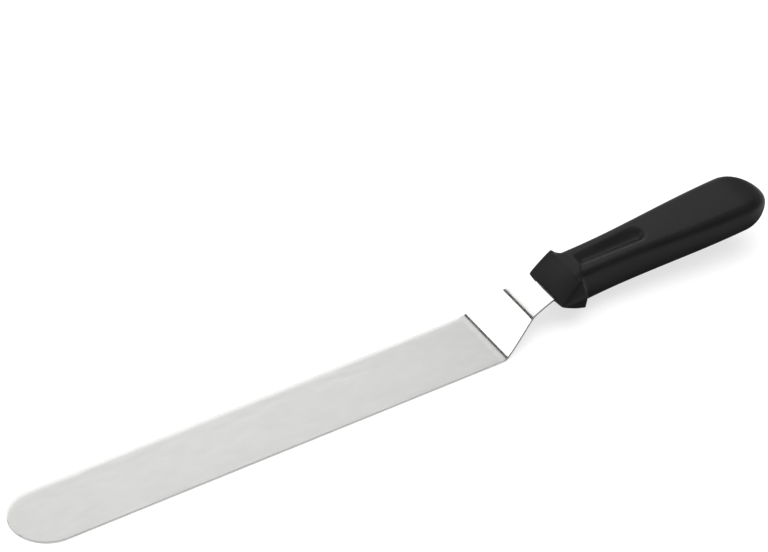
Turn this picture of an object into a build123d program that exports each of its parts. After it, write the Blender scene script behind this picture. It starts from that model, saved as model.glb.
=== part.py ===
"""Offset baking spatula: a bent stainless blade held in a moulded plastic handle.

Frame: +X runs from the blade's tip to the handle's butt, +Z is up, and Y = 0 is the
plane of symmetry. The origin is under the middle of the overall length, on the plane
that the flat blade lies on. All sizes are in millimetres.
"""
from build123d import *
from math import cos, radians, sin
import os

# Blade strip: spreading blade, riser and neck are one sheet of one thickness.
sheet = 1.0
blade_length = 253.2
blade_width = 37.6

# Offset: the riser lifts the neck above the blade.
riser_run = 19.7
riser_rise = 13.35
bend_radius = 7.5
neck_length = 14.1
shoulder_width = 24.5
neck_width = 15.7

# Tang: the hidden end of the strip, which the handle is moulded around.
tang_width = 11.0
tang_length = 86.0
tang_taper = 12.0
tang_hole_radius = 2.6
first_tang_hole = 22.0
tang_hole_pitch = 26.0
tang_hole_count = 3

# Handle: a faceted bolster, then a flat-sided grip that widens to a round butt.
handle_length = 121.0
handle_tilt = 3.6
front_half_width = 14.8
front_top_half_width = 13.8
front_half_height = 1.5
ridge_from_front = 12.0
ridge_half_width = 16.0
ridge_top_half_width = 13.0
ridge_half_height = 9.2
ridge_lean = 3.9
throat_from_front = 16.5
front_lift = 0.05
ridge_lift = 1.2
bolster_edge_radius = 0.8
grip_front_width = 21.6
grip_butt_width = 30.1
grip_swell_start = 22.5
grip_front_height = 18.3
grip_butt_height = 15.2
grip_lift = 1.15
butt_round_length = 16.9
butt_fall_length = 17.8
butt_fall_radius = 35.0
grip_edge_radius = 3.0

# Thumb grooves: one on the top face of the grip and one on the underside.
groove_start = 19.0
groove_length = 36.8
groove_start_radius = 3.9
groove_end_radius = 5.4
groove_axis_height = 11.3

# Places worked out from the sizes above.
tilt = radians(handle_tilt)
front_offset = riser_run + neck_length * cos(tilt)
overall_length = blade_length + front_offset + handle_length * cos(tilt)
tip_x = -overall_length / 2
heel_x = tip_x + blade_length
shoulder_x = heel_x + riser_run
blade_z = sheet / 2
shoulder_z = blade_z + riser_rise
front_x = heel_x + front_offset
front_z = shoulder_z + neck_length * sin(tilt)

# The handle's planes, along its tang, along its grip and upright, and its two axes.
handle_plane = Plane(
    origin=(front_x, 0, front_z),
    x_dir=(cos(tilt), 0, sin(tilt)),
    z_dir=(-sin(tilt), 0, cos(tilt)),
)
lifted_plane = handle_plane.offset(grip_lift)
side_plane = Plane(lifted_plane.origin, x_dir=lifted_plane.x_dir, z_dir=(0, -1, 0))
along = Axis(handle_plane.origin, handle_plane.x_dir)
through = Axis(handle_plane.origin, handle_plane.z_dir)


def strip_plan():
    """Outline of the whole strip seen from above, rounded at the tip and the tang's end."""
    tip_radius = blade_width / 2
    tang_half = tang_width / 2
    tang_x = front_x + tang_length * cos(tilt)
    with BuildSketch() as plan:
        with BuildLine():
            RadiusArc((tip_x, 0), (tip_x + tip_radius, tip_radius), tip_radius)
            Line((tip_x + tip_radius, tip_radius), (heel_x, blade_width / 2))
            Spline(
                (heel_x, blade_width / 2),
                (shoulder_x, shoulder_width / 2),
                (front_x, neck_width / 2),
                (front_x + tang_taper, tang_half),
                tangents=((1, -0.22), (1, 0)),
            )
            Line((front_x + tang_taper, tang_half), (tang_x - tang_half, tang_half))
            RadiusArc((tang_x - tang_half, tang_half), (tang_x, 0), tang_half)
            mirror(about=Plane.XZ)
        make_face()
    return plan.sketch


def build_blade():
    """One bent strip: flat blade, riser, neck and perforated tang."""
    past_tang = tang_length + 1
    with BuildPart() as blade:
        with BuildSketch(Plane.XZ):
            with BuildLine():
                FilletPolyline(
                    (tip_x, blade_z),
                    (heel_x, blade_z),
                    (shoulder_x, shoulder_z),
                    (front_x + past_tang * cos(tilt), front_z + past_tang * sin(tilt)),
                    radius=bend_radius + sheet / 2,
                )
                offset(amount=sheet / 2, side=Side.BOTH, closed=True)
            make_face()
        extrude(amount=blade_width, both=True)
        extrude(strip_plan(), amount=shoulder_z + 40, mode=Mode.INTERSECT)
        with BuildSketch(handle_plane):
            for index in range(tang_hole_count):
                with Locations((first_tang_hole + index * tang_hole_pitch, 0)):
                    Circle(tang_hole_radius)
        extrude(amount=2 * sheet, both=True, mode=Mode.SUBTRACT)
    blade.part.label = "blade"
    return blade.part


def hexagon(half_width, top_half_width, half_height):
    """Corners of a bolster section: flat top and bottom, sides that meet at mid-height."""
    return [
        (half_width, 0),
        (top_half_width, half_height),
        (-top_half_width, half_height),
        (-half_width, 0),
        (-top_half_width, -half_height),
        (top_half_width, -half_height),
    ]


def section_plane(distance, lift, lean=0):
    """Plane across the handle behind its front face, lifted, its top leaning forward."""
    place = handle_plane.origin + handle_plane.x_dir * distance + handle_plane.z_dir * lift
    facing = handle_plane.x_dir * cos(radians(lean)) + handle_plane.z_dir * sin(radians(lean))
    return Plane(place, x_dir=handle_plane.y_dir, z_dir=facing)


def upright(face):
    """True for a face that runs straight through the handle's thickness."""
    return abs(face.normal_at().dot(through.direction)) < 0.01


def build_grip():
    """Grip: plan outline and side outline crossed, with its long edges rounded."""
    half_widest = grip_butt_width / 2
    widest = handle_length - butt_round_length
    start = ridge_from_front - 1
    crest = (handle_length - butt_fall_length, grip_butt_height / 2)
    fall_run = butt_fall_length + 2
    fall = butt_fall_radius - (butt_fall_radius**2 - fall_run**2) ** 0.5
    past_butt = (crest[0] + fall_run, crest[1] - fall)
    with BuildPart() as grip:
        with BuildSketch(lifted_plane):
            with BuildLine():
                Line((start, 0), (start, grip_front_width / 2))
                Line((start, grip_front_width / 2), (grip_swell_start, grip_front_width / 2))
                Spline(
                    (grip_swell_start, grip_front_width / 2),
                    (widest, half_widest),
                    tangents=((1, 0), (1, 0)),
                )
                EllipticalCenterArc((widest, 0), butt_round_length, half_widest, 0, arc_size=90)
                mirror(about=Plane.XZ)
            make_face()
        extrude(amount=grip_butt_height, both=True)
        with BuildSketch(side_plane):
            with BuildLine():
                Line((start, 0), (start, grip_front_height / 2))
                top_line = Line((start, grip_front_height / 2), crest)
                TangentArc(crest, past_butt, tangent=top_line % 1)
                Line(past_butt, (past_butt[0], 0))
                mirror(about=Plane.XZ)
            make_face()
        extrude(amount=grip_butt_width, both=True, mode=Mode.INTERSECT)
        front = grip.faces().sort_by(along)[0]
        walls = grip.faces().filter_by(upright)
        rims = walls.edges().filter_by(through, reverse=True) - front.edges()
        fillet(rims, radius=grip_edge_radius)
    return grip.part


def build_bolster():
    """Faceted bolster: a thin front edge that grows to a ridge and drops to the grip."""
    front = hexagon(front_half_width, front_top_half_width, front_half_height)
    ridge = hexagon(ridge_half_width, ridge_top_half_width, ridge_half_height)
    throat = hexagon(
        grip_front_width / 2,
        grip_front_width / 2 - grip_edge_radius,
        grip_front_height / 2,
    )
    with BuildPart() as bolster:
        with BuildSketch(section_plane(0, front_lift)):
            Polygon(*front, align=None)
        with BuildSketch(section_plane(ridge_from_front, ridge_lift, ridge_lean)):
            Polygon(*ridge, align=None)
        loft(ruled=True)
        with BuildSketch(section_plane(ridge_from_front, ridge_lift, ridge_lean)):
            Polygon(*ridge, align=None)
        with BuildSketch(section_plane(throat_from_front, grip_lift)):
            Polygon(*throat, align=None)
        loft(ruled=True)
        throat_edges = bolster.faces().sort_by(along)[-1].edges()
        fillet(bolster.edges() - throat_edges, radius=bolster_edge_radius)
    return bolster.part


def build_groove_cutter():
    """Tapered, round-ended cutter for the top thumb groove, lying along the grip."""
    end_centre = groove_start + groove_length - groove_end_radius
    above = lifted_plane.origin + lifted_plane.z_dir * groove_axis_height
    spin = Axis(above, lifted_plane.x_dir)
    with BuildPart() as cutter:
        with BuildSketch(side_plane):
            with BuildLine():
                Polyline(
                    (end_centre + groove_end_radius, groove_axis_height),
                    (groove_start, groove_axis_height),
                    (groove_start, groove_axis_height - groove_start_radius),
                    (end_centre, groove_axis_height - groove_end_radius),
                )
                CenterArc((end_centre, groove_axis_height), groove_end_radius, -90, 90)
            make_face()
        revolve(axis=spin)
    return cutter.part


def build_handle(blade):
    """The one-piece moulding, with the tang's space taken out of it."""
    grip = build_grip()
    bolster = build_bolster()
    top_groove = build_groove_cutter()
    with BuildPart() as handle:
        add(grip)
        add(bolster)
        add(top_groove, mode=Mode.SUBTRACT)
        mirror(top_groove, about=lifted_plane, mode=Mode.SUBTRACT)
        add(blade, mode=Mode.SUBTRACT)
    handle.part.label = "handle"
    return handle.part


os.makedirs("parts", exist_ok=True)
blade_part = build_blade()
handle_part = build_handle(blade_part)
export_step(blade_part, "parts/blade.step")
export_step(handle_part, "parts/handle.step")
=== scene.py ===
"""Looks of the offset baking spatula: satin steel blade, moulded black handle, soft studio.

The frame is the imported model's: metres, +X from the blade's tip to the handle's butt and
+Z up, with the flat of the blade resting on Z = 0.
"""
from math import atan2, cos, pi, radians, sin, sqrt, tan

import bmesh
import bpy
import numpy as np
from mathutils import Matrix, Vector


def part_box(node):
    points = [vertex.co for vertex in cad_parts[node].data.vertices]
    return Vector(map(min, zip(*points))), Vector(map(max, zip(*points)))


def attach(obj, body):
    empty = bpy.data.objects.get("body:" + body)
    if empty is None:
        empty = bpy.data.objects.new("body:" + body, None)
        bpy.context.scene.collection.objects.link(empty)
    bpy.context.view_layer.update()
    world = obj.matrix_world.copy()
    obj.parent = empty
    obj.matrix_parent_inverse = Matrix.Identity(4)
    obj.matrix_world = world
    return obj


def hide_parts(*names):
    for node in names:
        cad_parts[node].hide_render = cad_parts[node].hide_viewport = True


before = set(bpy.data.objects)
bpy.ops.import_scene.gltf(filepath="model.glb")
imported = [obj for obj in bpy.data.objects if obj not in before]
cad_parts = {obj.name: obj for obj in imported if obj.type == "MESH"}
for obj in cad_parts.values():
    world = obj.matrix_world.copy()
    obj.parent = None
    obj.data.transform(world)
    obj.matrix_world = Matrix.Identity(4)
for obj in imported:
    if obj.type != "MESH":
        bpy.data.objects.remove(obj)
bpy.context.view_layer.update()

mm = 0.001

# Blade strip: one sheet, bent twice, that runs on into the handle as its tang.
sheet = 1.0 * mm
blade_length = 253.2 * mm
blade_width = 37.6 * mm
riser_run = 19.7 * mm
riser_rise = 13.35 * mm
bend_radius = 7.5 * mm
neck_length = 14.1 * mm
shoulder_width = 24.5 * mm
neck_width = 15.7 * mm
tang_width = 11.0 * mm
tang_length = 86.0 * mm
tang_taper = 12.0 * mm
heel_taper_slope = -0.22
shoulder_taper_slope = -0.35
neck_taper_slope = -0.25
edge_radius = 0.2 * mm

# Handle: bolster, grip and butt, measured along, across and through the handle.
handle_length = 121.0 * mm
handle_tilt = radians(3.6)
front_half_width = 14.8 * mm
front_top_half_width = 13.8 * mm
front_half_height = 1.5 * mm
facet_front_half_width = 7.8 * mm
ridge_from_front = 11.3 * mm
ridge_half_width = 16.1 * mm
ridge_top_half_width = 13.0 * mm
ridge_half_height = 9.3 * mm
ridge_lean = 0.068
ridge_bow = 1.3 * mm
ridge_crown = 0.5 * mm
top_bulge = 0.23
side_bulge = 1.1 * mm
flare_top_length = 5.0 * mm
flare_top_drop = 1.3 * mm
flare_side_length = 2.6 * mm
grip_front_half_width = 10.8 * mm
grip_butt_half_width = 15.05 * mm
grip_swell_start = 22.5 * mm
grip_front_half_height = 9.2 * mm
grip_butt_half_height = 7.6 * mm
grip_lift = 1.15 * mm
front_lift = 0.05 * mm
ridge_lift = 1.2 * mm
grip_side_crown = 1.3 * mm
grip_top_crown = 0.25 * mm
butt_round_length = 16.9 * mm
butt_fall_length = 17.8 * mm
butt_fall_radius = 35.0 * mm

# How far each kind of corner is rounded.
bolster_rounding = 0.5 * mm
facet_rounding = 1.7 * mm
side_rounding = 1.5 * mm
flare_rounding = 2.0 * mm
grip_front_rounding = 1.8 * mm
grip_butt_rounding = 3.8 * mm
groove_rounding = 1.8 * mm
corner_rounding = 0.8 * mm

# Thumb grooves: one on the top face of the grip and one on the underside.
groove_start = 19.0 * mm
groove_length = 36.8 * mm
groove_start_radius = 3.9 * mm
groove_end_radius = 5.4 * mm
groove_axis_height = 11.3 * mm
groove_end_bluntness = 1.2

# How the handle's parts run into each other, out of sight.
grip_start_inset = 0.5 * mm
wedge_overrun = 1.2
steepest_fall = 0.9

# How finely the handle's surface is found and divided.
search_reach = 40.0 * mm
search_halvings = 34
ring_columns = 84
ring_fan = 44
front_rings = 40
butt_rings = 36
grip_rings = 56
fine_pitch = 0.35 * mm
front_core = 4.0 * mm
butt_core_inset = 2.0 * mm
fine_past_groove = 3.0 * mm
core_end_inset = 5.0 * mm

# How finely the strip is divided.
strip_columns = 12
tip_rows = 28
blade_rows = 26
bend_rows = 12
riser_rows = 12
neck_rows = 50
tang_end_rows = 10
rim_rows = 4

# Points closer than this are one point.
handle_merge = 0.01 * mm
blade_merge = 0.002 * mm

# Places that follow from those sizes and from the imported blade.
tip_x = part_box("blade")[0].x
heel_x = tip_x + blade_length
shoulder_x = heel_x + riser_run
front_x = shoulder_x + neck_length * cos(handle_tilt)
tang_end_x = front_x + tang_length * cos(handle_tilt)
shoulder_z = sheet / 2 + riser_rise
front_z = shoulder_z + neck_length * sin(handle_tilt)
widest = handle_length - butt_round_length
crest = handle_length - butt_fall_length

# Steel: lightest and darkest grey of the faces, greys of the cut sides (the crank's darker one is
# painted shade), and roughness.
face_greys = (0.676, 0.704)
blade_cut_grey = 0.80
crank_cut_painted_shade_grey = 0.42
blade_cut_metal = 0.45
satin_roughness = (0.33, 0.39)
polished_roughness = (0.12, 0.20)
worn_steel_roughness = 0.24
cut_roughness = 0.42

# Plastic: its range of grey, the grey of rubbed edges, and roughness.
plastic_greys = (0.0045, 0.0065)
rubbed_grey = 0.0095
plastic_roughness = (0.38, 0.46)
rubbed_roughness = 0.34
plastic_specular = 0.28

# Floor: its range of grey, and how much light it gives off.
floor_greys = (0.32, 0.33)
floor_glow = 0.68

# Studio: the view, with its angles in degrees, and the floor under the object.
view_azimuth = -31.72
view_elevation = 40.0
view_distance = 3.369
view_lens = 334.5
view_aim = Vector((33.8, 63.9, 0.0)) * mm
floor_reach = 12.0
floor_gap = 0.05 * mm

# Softboxes: name, azimuth, elevation, distance, width, height and radiance.
softboxes = (
    ("right_softbox", 161, 43, 1.2, 0.78, 0.51, 1.45),
    ("low_strip", 157, 9, 2.0, 0.9, 0.4, 1.5),
    ("left_softbox", 217, 35, 2.0, 0.55, 0.6, 2.7),
)
fill_distance = 2.5
fill_size = 4.0
fill_radiance = 3.2

# Brightness of the surroundings from straight down (0) to straight up (1).
surroundings = (
    (0.12, 0.06),
    (0.27, 1.0),
    (0.33, 1.0),
    (0.42, 0.3),
    (0.70, 0.3),
    (0.78, 0.08),
    (0.90, 0.08),
    (1.0, 0.35),
)


def smooth_max(a, b, reach):
    """The larger of two fields, with the corner between them rounded over a reach."""
    overlap = np.maximum(reach - np.abs(a - b), 0)
    return np.maximum(a, b) + overlap * overlap / (4 * reach)


def smooth_min(a, b, reach):
    """The smaller of two fields, with the hollow between them filled over a reach."""
    return -smooth_max(-a, -b, reach)


def ease(share):
    """A share from 0 to 1 that leaves both ends gently."""
    share = np.clip(share, 0, 1)
    return share * share * (3 - 2 * share)


def lerp(low, high, share):
    """The value a clipped share of the way from low to high."""
    return low + (high - low) * np.clip(share, 0, 1)


def soft_abs(value, softness):
    """Absolute value with its corner at zero rounded."""
    return np.sqrt(value * value + softness * softness) - softness


def grip_half_width(u):
    """Half width of the grip at a distance behind the handle's front."""
    swell = ease((u - grip_swell_start) / (widest - grip_swell_start))
    return lerp(grip_front_half_width, grip_butt_half_width, swell)


def grip_half_height(u):
    """Half height of the grip, which falls away along an arc at the butt."""
    level = lerp(grip_front_half_height, grip_butt_half_height, u / crest)
    past = np.clip(u - crest, 0, steepest_fall * butt_fall_radius)
    return level - (butt_fall_radius - np.sqrt(butt_fall_radius**2 - past**2))


def grip_field(u, v, w):
    """Negative inside the grip: crowned faces, rounded edges and a round butt."""
    half_width = grip_half_width(u)
    half_height = grip_half_height(u)
    w = w - grip_lift
    past = np.maximum(u - widest, 0) * grip_butt_half_width / butt_round_length
    side = np.hypot(past, v) - half_width + grip_side_crown * (w / half_height) ** 2
    top = np.abs(w) - half_height + grip_top_crown * (v / half_width) ** 2
    rounding = lerp(grip_front_rounding, grip_butt_rounding, u / handle_length)
    start = ridge_from_front + grip_start_inset - u
    return np.maximum(smooth_max(side, top, rounding), start)


def corner_facet_field(u, v, w):
    """Negative under the facets that run from the front's corners up to the ridge's."""
    corner = np.array([ridge_from_front, ridge_top_half_width, ridge_half_height])
    low = np.array([0, front_half_width, 0]) - corner
    high = np.array([0, facet_front_half_width, front_half_height]) - corner
    facing = np.cross(low, high)
    facing = facing / np.linalg.norm(facing)
    offsets = (u - corner[0], np.abs(v) - corner[1], np.abs(w) - corner[2])
    return sum(part * offset for part, offset in zip(facing, offsets))


def bolster_field(u, v, w):
    """Negative inside the bolster: a wedge that grows to a ridge and drops behind it."""
    w = w - lerp(front_lift, ridge_lift, u / ridge_from_front)
    bow = ridge_bow * (v / ridge_top_half_width) ** 2
    ridge = ridge_from_front - ridge_lean * w + bow
    share = np.clip(u / ridge, 0, wedge_overrun)
    behind = u - ridge
    height = np.abs(w) + ridge_crown * (v / ridge_top_half_width) ** 2
    growth = ridge_half_height - front_half_height
    rise = atan2(growth, ridge_from_front)
    bulge = share * (1 - share)
    top = (height - front_half_height - growth * (share + top_bulge * bulge)) * cos(rise)
    drop = atan2(flare_top_drop, flare_top_length)
    back = (height - ridge_half_height) * cos(drop) + behind * sin(drop)
    front_step = front_half_width - front_top_half_width
    ridge_step = ridge_half_width - ridge_top_half_width
    step = lerp(front_step, ridge_step, share)
    slope = step / lerp(front_half_height, ridge_half_height, share)
    middle = lerp(front_half_width, ridge_half_width, share) + side_bulge * bulge
    side = np.abs(v) + slope * soft_abs(w, side_rounding) - middle
    narrowing = atan2(ridge_half_width - grip_front_half_width, flare_side_length)
    flank = side * cos(narrowing) + behind * sin(narrowing)
    rounding = lerp(facet_rounding, bolster_rounding, share)
    field = smooth_max(top, side, rounding)
    field = smooth_max(field, corner_facet_field(u, v, w), corner_rounding)
    field = smooth_max(field, back, bolster_rounding)
    field = smooth_max(field, flank, bolster_rounding)
    return smooth_max(field, -u, bolster_rounding)


def groove_field(u, v, w):
    """Negative inside the thumb grooves: tapered round channels with a blunt start."""
    end_centre = groove_start + groove_length - groove_end_radius
    share = (u - groove_start) / (end_centre - groove_start)
    radius = lerp(groove_start_radius, groove_end_radius, share)
    depth = np.abs(w - grip_lift) - groove_axis_height
    past = np.maximum(u - end_centre, 0)
    channel = np.sqrt(v * v + depth * depth + (groove_end_bluntness * past) ** 2) - radius
    return smooth_max(channel, groove_start - u, groove_rounding)


def handle_field(u, v, w):
    """Negative inside the handle's plastic."""
    body = smooth_min(bolster_field(u, v, w), grip_field(u, v, w), flare_rounding)
    return smooth_max(body, -groove_field(u, v, w), groove_rounding)


def surface_distance(starts, directions):
    """How far each ray goes from its start, inside the handle, to the surface."""
    near = np.zeros(len(starts))
    far = np.full(len(starts), search_reach)
    for _ in range(search_halvings):
        middle = (near + far) / 2
        inside = handle_field(*(starts + directions * middle[:, None]).T) < 0
        near = np.where(inside, middle, near)
        far = np.where(inside, far, middle)
    return (near + far) / 2


def ring_rays():
    """Rays round one section: up and down from a flat core, and fanned at its two ends.

    The columns are closer together in the middle, where the grooves are.
    """
    even = np.linspace(-1, 1, ring_columns + 1)
    core = even * (0.7 + 0.3 * even * even)
    turn = np.linspace(pi / 2, -pi / 2, ring_fan + 1)[1:-1]
    ends = np.ones(ring_fan - 1)
    across = np.concatenate([core, ends, core[::-1], -ends])
    out = np.concatenate([0 * core, np.cos(turn), 0 * core, -np.cos(turn)])
    up = np.concatenate([1 + 0 * core, np.sin(turn), -1 + 0 * core, -np.sin(turn)])
    return across, out, up


def handle_stations():
    """Core position and lean of each ring, from the front face to the butt."""
    butt_core = widest + butt_core_inset
    fine_end = groove_start + groove_length + fine_past_groove
    front_lean = np.linspace(-pi / 2, 0, front_rings)[:-1]
    butt_lean = np.linspace(0, pi / 2, butt_rings)[1:]
    fine = np.arange(front_core, fine_end, fine_pitch)
    coarse = np.linspace(fine_end, butt_core, grip_rings)
    cores = [0 * front_lean + front_core, fine, coarse, 0 * butt_lean + butt_core]
    leans = [front_lean, 0 * fine, 0 * coarse, butt_lean]
    return np.concatenate(cores), np.concatenate(leans)


def handle_vertices():
    """Rings of surface points, in the handle's own directions."""
    across, out, up = ring_rays()
    cores, leans = handle_stations()
    bolster_core = lerp(front_half_width, ridge_half_width, cores / ridge_from_front)
    narrow = ease((cores - ridge_from_front) / flare_top_length)
    core_half_width = lerp(bolster_core, grip_half_width(cores), narrow) - core_end_inset
    starts = np.stack(
        [
            np.repeat(cores, len(across)),
            np.outer(core_half_width, across).ravel(),
            np.zeros(len(cores) * len(across)),
        ],
        axis=1,
    )
    directions = np.stack(
        [
            np.repeat(np.sin(leans), len(across)),
            np.outer(np.cos(leans), out).ravel(),
            np.outer(np.cos(leans), up).ravel(),
        ],
        axis=1,
    )
    distance = surface_distance(starts, directions)
    return starts + directions * distance[:, None], len(across), len(cores)


def in_handle_place(points):
    """Turns points along, across and through the handle into points of the frame."""
    u, v, w = points.T
    x = front_x + u * cos(handle_tilt) - w * sin(handle_tilt)
    z = front_z + u * sin(handle_tilt) + w * cos(handle_tilt)
    return np.stack([x, v, z], axis=1)


def mesh_piece(name, points, faces, merge_within):
    """A smooth-shaded mesh object, with coinciding points merged and its faces outward."""
    mesh = bpy.data.meshes.new(name)
    mesh.from_pydata([tuple(p) for p in points], [], faces)
    work = bmesh.new()
    work.from_mesh(mesh)
    bmesh.ops.remove_doubles(work, verts=work.verts, dist=merge_within)
    bmesh.ops.dissolve_degenerate(work, edges=work.edges, dist=merge_within)
    bmesh.ops.recalc_face_normals(work, faces=work.faces)
    work.to_mesh(mesh)
    work.free()
    mesh.shade_smooth()
    piece = bpy.data.objects.new(name, mesh)
    bpy.context.scene.collection.objects.link(piece)
    return piece


def build_handle():
    """The one-piece moulding, as closed rings joined by four-sided faces."""
    points, around, rings = handle_vertices()
    faces = []
    for ring in range(rings - 1):
        for step in range(around):
            a = ring * around + step
            b = ring * around + (step + 1) % around
            faces.append((a, b, b + around, a + around))
    return mesh_piece("handle_moulding", in_handle_place(points), faces, handle_merge)


def strip_half_width(x):
    """Half width of the strip behind its round tip, at a place along the frame."""
    knots = [heel_x, shoulder_x, front_x, front_x + tang_taper]
    halves = [blade_width / 2, shoulder_width / 2, neck_width / 2, tang_width / 2]
    slopes = [heel_taper_slope, shoulder_taper_slope, neck_taper_slope, 0.0]
    if x <= knots[0]:
        return halves[0]
    for i in range(3):
        span = knots[i + 1] - knots[i]
        t = (x - knots[i]) / span
        if t <= 1:
            from_left = halves[i] * (1 + 2 * t) + slopes[i] * span * t
            from_right = halves[i + 1] * (3 - 2 * t) + slopes[i + 1] * span * (t - 1)
            return from_left * (1 - t) ** 2 + from_right * t**2
    return halves[-1]


def strip_midline():
    """Points and upright directions along the middle of the sheet: (x, z, angle)."""
    climb = atan2(riser_rise, riser_run)
    radius = bend_radius + sheet / 2
    heel_reach = radius * tan(climb / 2)
    shoulder_reach = radius * tan((climb - handle_tilt) / 2)
    line = []
    tip_radius = blade_width / 2
    for angle in np.linspace(0, pi / 2, tip_rows):
        line.append((tip_x + tip_radius * (1 - cos(angle)), sheet / 2, 0.0))
    for x in np.linspace(tip_x + tip_radius, heel_x - heel_reach, blade_rows)[1:]:
        line.append((x, sheet / 2, 0.0))
    start = line[-1]
    for angle in np.linspace(0, climb, bend_rows + 1)[1:]:
        line.append((start[0] + radius * sin(angle),
                     start[1] + radius * (1 - cos(angle)), angle))
    start = line[-1]
    riser = sqrt(riser_run**2 + riser_rise**2) - heel_reach - shoulder_reach
    for along in np.linspace(0, riser, riser_rows)[1:]:
        line.append((start[0] + along * cos(climb), start[1] + along * sin(climb), climb))
    start = line[-1]
    for angle in np.linspace(climb, handle_tilt, bend_rows + 1)[1:]:
        line.append((start[0] + radius * (sin(climb) - sin(angle)),
                     start[1] + radius * (cos(angle) - cos(climb)), angle))
    start = line[-1]
    end_radius = tang_width / 2
    straight = (tang_end_x - end_radius - start[0]) / cos(handle_tilt)
    for along in np.linspace(0, straight, neck_rows)[1:]:
        line.append((start[0] + along * cos(handle_tilt),
                     start[1] + along * sin(handle_tilt), handle_tilt))
    start = line[-1]
    for angle in np.linspace(0, pi / 2, tang_end_rows)[1:]:
        along = end_radius * sin(angle) / cos(handle_tilt)
        line.append((start[0] + along * cos(handle_tilt),
                     start[1] + along * sin(handle_tilt), handle_tilt))
    return line


def outline_half_width(x):
    """Half width of the strip anywhere, with its round tip and round tang end."""
    tip_radius = blade_width / 2
    end_radius = tang_width / 2
    if x < tip_x + tip_radius:
        return sqrt(max(tip_radius**2 - (tip_x + tip_radius - x) ** 2, 0))
    if x > tang_end_x - end_radius:
        return sqrt(max(end_radius**2 - (x - tang_end_x + end_radius) ** 2, 0))
    return strip_half_width(x)


def build_blade():
    """The bent strip: rows of faces across its top and underside, and a rounded rim."""
    line = strip_midline()
    rim = []
    for turn in np.linspace(pi / 2, 0, rim_rows):
        rim.append((edge_radius * (1 - cos(turn)), sheet / 2 - edge_radius * (1 - sin(turn))))
    rim = rim + [(inset, -height) for inset, height in reversed(rim)]
    across = np.linspace(-1, 1, strip_columns + 1)
    points = []
    for x, z, angle in line:
        half = outline_half_width(x)
        if half > edge_radius:
            section = [(half - i, h) for i, h in rim]
        else:
            section = [(half * (1 - i / edge_radius), h) for i, h in rim]
        top = [(y, sheet / 2) for y in across * section[0][0]]
        under = [(y, -sheet / 2) for y in across[::-1] * section[0][0]]
        loop = top + section[1:-1] + under + [(-y, h) for y, h in section[1:-1][::-1]]
        for y, height in loop:
            points.append((x - height * sin(angle), y, z + height * cos(angle)))
    around = 2 * (strip_columns + 1) + 2 * (len(rim) - 2)
    faces = []
    for row in range(len(line) - 1):
        for step in range(around):
            a = row * around + step
            b = row * around + (step + 1) % around
            faces.append((a, b, b + around, a + around))
    piece = mesh_piece("blade_strip", points, faces, blade_merge)
    flats = piece.modifiers.new("flat_faces", "WEIGHTED_NORMAL")
    flats.weight = 100
    return piece


def grey(level):
    """A very slightly warm grey, as a colour of four numbers."""
    return (level, level, 0.98 * level, 1)


def new_material(name):
    """A material with a Principled shader: (material, node tree, shader)."""
    material = bpy.data.materials.new(name)
    material.use_nodes = True
    tree = material.node_tree
    return material, tree, tree.nodes["Principled BSDF"]


def stretched_noise(tree, scale, stretch, detail, roughness=0.5):
    """Noise in the object's own space, with its grain stretched along X by a factor."""
    place = tree.nodes.new("ShaderNodeTexCoord")
    grain = tree.nodes.new("ShaderNodeMapping")
    grain.inputs["Scale"].default_value = (1 / stretch, 1, 1)
    noise = tree.nodes.new("ShaderNodeTexNoise")
    noise.inputs["Scale"].default_value = scale
    noise.inputs["Detail"].default_value = detail
    noise.inputs["Roughness"].default_value = roughness
    tree.links.new(place.outputs["Object"], grain.inputs["Vector"])
    tree.links.new(grain.outputs["Vector"], noise.inputs["Vector"])
    return noise.outputs["Fac"]


def feed(tree, socket, value):
    """Gives an input a constant, or links it to another node's output."""
    if isinstance(value, bpy.types.NodeSocket):
        tree.links.new(value, socket)
    else:
        socket.default_value = value


def spread(tree, value, low, high):
    """Stretches a noise value over a range, clipped at the range's ends."""
    node = tree.nodes.new("ShaderNodeMapRange")
    node.inputs["From Min"].default_value = 0.3
    node.inputs["From Max"].default_value = 0.7
    node.inputs["To Min"].default_value = low
    node.inputs["To Max"].default_value = high
    tree.links.new(value, node.inputs["Value"])
    return node.outputs["Result"]


def mixed_colour(tree, share, low, high):
    """A colour between two, by a share from 0 to 1."""
    node = tree.nodes.new("ShaderNodeMix")
    node.data_type = "RGBA"
    tree.links.new(share, node.inputs["Factor"])
    feed(tree, node.inputs["A"], low)
    feed(tree, node.inputs["B"], high)
    return node.outputs["Result"]


def worn_edges(tree, low, high):
    """A share that is 1 on outward edges and 0 on flat faces, from the mesh's shape."""
    shape = tree.nodes.new("ShaderNodeNewGeometry")
    node = tree.nodes.new("ShaderNodeMapRange")
    node.inputs["From Min"].default_value = low
    node.inputs["From Max"].default_value = high
    tree.links.new(shape.outputs["Pointiness"], node.inputs["Value"])
    return node.outputs["Result"]


def add_bump(tree, shader, height, distance, strength):
    """Feeds a height into the shader's normal."""
    bump = tree.nodes.new("ShaderNodeBump")
    bump.inputs["Distance"].default_value = distance
    bump.inputs["Strength"].default_value = strength
    tree.links.new(height, bump.inputs["Height"])
    tree.links.new(bump.outputs["Normal"], shader.inputs["Normal"])


def along_object(tree, start, end):
    """A share that goes from 0 to 1 between two places along the frame's X."""
    place = tree.nodes.new("ShaderNodeTexCoord")
    split = tree.nodes.new("ShaderNodeSeparateXYZ")
    node = tree.nodes.new("ShaderNodeMapRange")
    node.inputs["From Min"].default_value = start
    node.inputs["From Max"].default_value = end
    tree.links.new(place.outputs["Object"], split.inputs["Vector"])
    tree.links.new(split.outputs["X"], node.inputs["Value"])
    return node.outputs["Result"]


def mixed_value(tree, share, low, high):
    """A number between two others, by a share from 0 to 1."""
    node = tree.nodes.new("ShaderNodeMix")
    tree.links.new(share, node.inputs["Factor"])
    feed(tree, node.inputs["A"], low)
    feed(tree, node.inputs["B"], high)
    return node.outputs["Result"]


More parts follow.
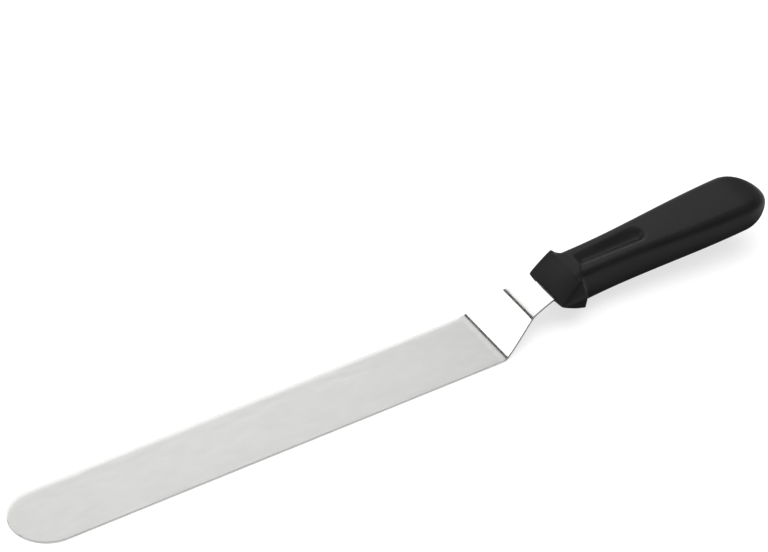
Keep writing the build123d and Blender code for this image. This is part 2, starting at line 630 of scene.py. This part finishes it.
def cut_sides(tree):
    """A share that is 1 on the sheet's cut sides and 0 on its faces, by their facing."""
    shape = tree.nodes.new("ShaderNodeNewGeometry")
    split = tree.nodes.new("ShaderNodeSeparateXYZ")
    size = tree.nodes.new("ShaderNodeMath")
    size.operation = "ABSOLUTE"
    node = tree.nodes.new("ShaderNodeMapRange")
    node.inputs["From Min"].default_value = 0.65
    node.inputs["From Max"].default_value = 0.35
    tree.links.new(shape.outputs["Normal"], split.inputs["Vector"])
    tree.links.new(split.outputs["Z"], size.inputs[0])
    tree.links.new(size.outputs["Value"], node.inputs["Value"])
    return node.outputs["Result"]


def steel_material():
    """Stainless steel: satin blade with a lengthwise grain, polished crank, cut sides, with
    painted shade on the crank's cut sides.
    """
    material, tree, shader = new_material("satin_steel")
    grain = stretched_noise(tree, 2400, 40, 3)
    mottle = stretched_noise(tree, 240, 2, 5)
    crank = along_object(tree, heel_x - 1 * mm, heel_x + 1 * mm)
    cut = cut_sides(tree)
    low, high = face_greys
    face = mixed_colour(tree, spread(tree, mottle, 0, 1), grey(low), grey(high))
    # Painted shade: the cut sides of the riser, neck and tang get a darker grey than the blade's
    # cut sides.
    side = mixed_colour(tree, crank, grey(blade_cut_grey), grey(crank_cut_painted_shade_grey))
    colour = mixed_colour(tree, cut, face, side)
    tree.links.new(colour, shader.inputs["Base Color"])
    satin = spread(tree, grain, *satin_roughness)
    polished = spread(tree, mottle, *polished_roughness)
    smooth = mixed_value(tree, crank, satin, polished)
    rubbed = mixed_value(tree, worn_edges(tree, 0.52, 0.60), smooth, worn_steel_roughness)
    roughness = mixed_value(tree, cut, rubbed, cut_roughness)
    tree.links.new(roughness, shader.inputs["Roughness"])
    cut_metal = mixed_value(tree, crank, blade_cut_metal, 1.0)
    tree.links.new(mixed_value(tree, cut, 1.0, cut_metal), shader.inputs["Metallic"])
    add_bump(tree, shader, grain, 0.02 * mm, 0.1)
    return material


def plastic_material():
    """Moulded black polypropylene: a fine spark-eroded grain and slightly rubbed edges."""
    material, tree, shader = new_material("black_polypropylene")
    grain = stretched_noise(tree, 2600, 1, 2)
    cloud = stretched_noise(tree, 120, 1.6, 4)
    worn = worn_edges(tree, 0.52, 0.62)
    low, high = plastic_greys
    plain = mixed_colour(tree, spread(tree, cloud, 0, 1), grey(low), grey(high))
    colour = mixed_colour(tree, worn, plain, grey(rubbed_grey))
    tree.links.new(colour, shader.inputs["Base Color"])
    shader.inputs["Specular IOR Level"].default_value = plastic_specular
    roughness = mixed_value(tree, worn, spread(tree, cloud, *plastic_roughness), rubbed_roughness)
    tree.links.new(roughness, shader.inputs["Roughness"])
    add_bump(tree, shader, grain, 0.05 * mm, 0.3)
    return material


def floor_material():
    """Matt paper with the slightest mottle that gives off light, so shadows stay faint."""
    material, tree, shader = new_material("white_paper")
    mottle = spread(tree, stretched_noise(tree, 12, 1, 2), 0, 1)
    low, high = floor_greys
    colour = mixed_colour(tree, mottle, (low, low, low, 1), (high, high, high, 1))
    tree.links.new(colour, shader.inputs["Base Color"])
    shader.inputs["Roughness"].default_value = 0.9
    shader.inputs["Specular IOR Level"].default_value = 0.1
    shader.inputs["Emission Color"].default_value = (1, 1, 1, 1)
    shader.inputs["Emission Strength"].default_value = floor_glow
    return material


def build_floor():
    """A wide disc of paper under the object."""
    corners = 96
    rim = [2 * pi * i / corners for i in range(corners)]
    mesh = bpy.data.meshes.new("floor")
    points = [(floor_reach * cos(a), floor_reach * sin(a), -floor_gap) for a in rim]
    mesh.from_pydata(points, [], [tuple(range(corners))])
    mesh.materials.append(floor_material())
    floor = bpy.data.objects.new("floor", mesh)
    bpy.context.scene.collection.objects.link(floor)
    floor.visible_glossy = False
    return floor


def direction_from(azimuth, elevation):
    """Unit direction towards a place round the object, azimuth 0 being the -Y side."""
    a = radians(azimuth)
    e = radians(elevation)
    return Vector((sin(a) * cos(e), -cos(a) * cos(e), sin(e)))


def add_softbox(name, azimuth, elevation, distance, width, height, radiance):
    """A rectangular light that faces the object, as bright as its radiance says."""
    light = bpy.data.lights.new(name, "AREA")
    light.shape = "RECTANGLE"
    light.size = width
    light.size_y = height
    light.energy = radiance * pi * width * height
    lamp = bpy.data.objects.new(name, light)
    towards = direction_from(azimuth, elevation)
    lamp.location = towards * distance
    lamp.rotation_mode = "QUATERNION"
    lamp.rotation_quaternion = towards.to_track_quat("Z", "Y")
    bpy.context.scene.collection.objects.link(lamp)
    return lamp


def build_lights():
    """Two softboxes and a low strip behind, and a fill that shows in no reflection."""
    for name, azimuth, elevation, distance, width, height, radiance in softboxes:
        add_softbox(name, azimuth, elevation, distance, width, height, radiance)
    fill = add_softbox("overhead_fill", 0, 90, fill_distance, fill_size, fill_size, fill_radiance)
    fill.visible_glossy = False


def build_world():
    """Surroundings that differ with height, and white where the view meets them."""
    world = bpy.data.worlds.new("studio")
    world.use_nodes = True
    tree = world.node_tree
    background = tree.nodes["Background"]
    place = tree.nodes.new("ShaderNodeTexCoord")
    split = tree.nodes.new("ShaderNodeSeparateXYZ")
    band = tree.nodes.new("ShaderNodeValToRGB")
    height = tree.nodes.new("ShaderNodeMapRange")
    height.inputs["From Min"].default_value = -1
    tree.links.new(place.outputs["Generated"], split.inputs["Vector"])
    tree.links.new(split.outputs["Z"], height.inputs["Value"])
    tree.links.new(height.outputs["Result"], band.inputs["Fac"])
    tree.links.new(band.outputs["Color"], background.inputs["Color"])
    stops = band.color_ramp.elements
    stops[0].position, level = surroundings[0]
    stops[0].color = (level, level, level, 1)
    stops[1].position, level = surroundings[-1]
    stops[1].color = (level, level, level, 1)
    for position, level in surroundings[1:-1]:
        stop = stops.new(position)
        stop.color = (level, level, level, 1)
    white = tree.nodes.new("ShaderNodeBackground")
    white.inputs["Color"].default_value = (0.95, 0.95, 0.95, 1)
    path = tree.nodes.new("ShaderNodeLightPath")
    mix = tree.nodes.new("ShaderNodeMixShader")
    tree.links.new(path.outputs["Is Camera Ray"], mix.inputs["Fac"])
    tree.links.new(background.outputs["Background"], mix.inputs[1])
    tree.links.new(white.outputs["Background"], mix.inputs[2])
    tree.links.new(mix.outputs["Shader"], tree.nodes["World Output"].inputs["Surface"])
    bpy.context.scene.world = world


def build_camera():
    """A long lens that looks down over the near side, from beyond the blade's tip."""
    camera = bpy.data.cameras.new("view")
    camera.lens = view_lens
    camera.clip_end = 100
    eye = bpy.data.objects.new("view", camera)
    back = direction_from(view_azimuth, view_elevation)
    eye.location = view_aim + back * view_distance
    eye.rotation_mode = "QUATERNION"
    eye.rotation_quaternion = (-back).to_track_quat("-Z", "Y")
    bpy.context.scene.collection.objects.link(eye)
    bpy.context.scene.camera = eye


def place_piece(piece, node, material):
    """Puts a piece on the frame in place of its CAD node, with its finish."""
    piece.data.materials.append(material)
    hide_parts(node)
    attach(piece, "root")


place_piece(build_blade(), "blade", steel_material())
place_piece(build_handle(), "handle", plastic_material())
build_floor()
build_lights()
build_world()
build_camera()
bpy.context.scene.view_settings.view_transform = "Standard"
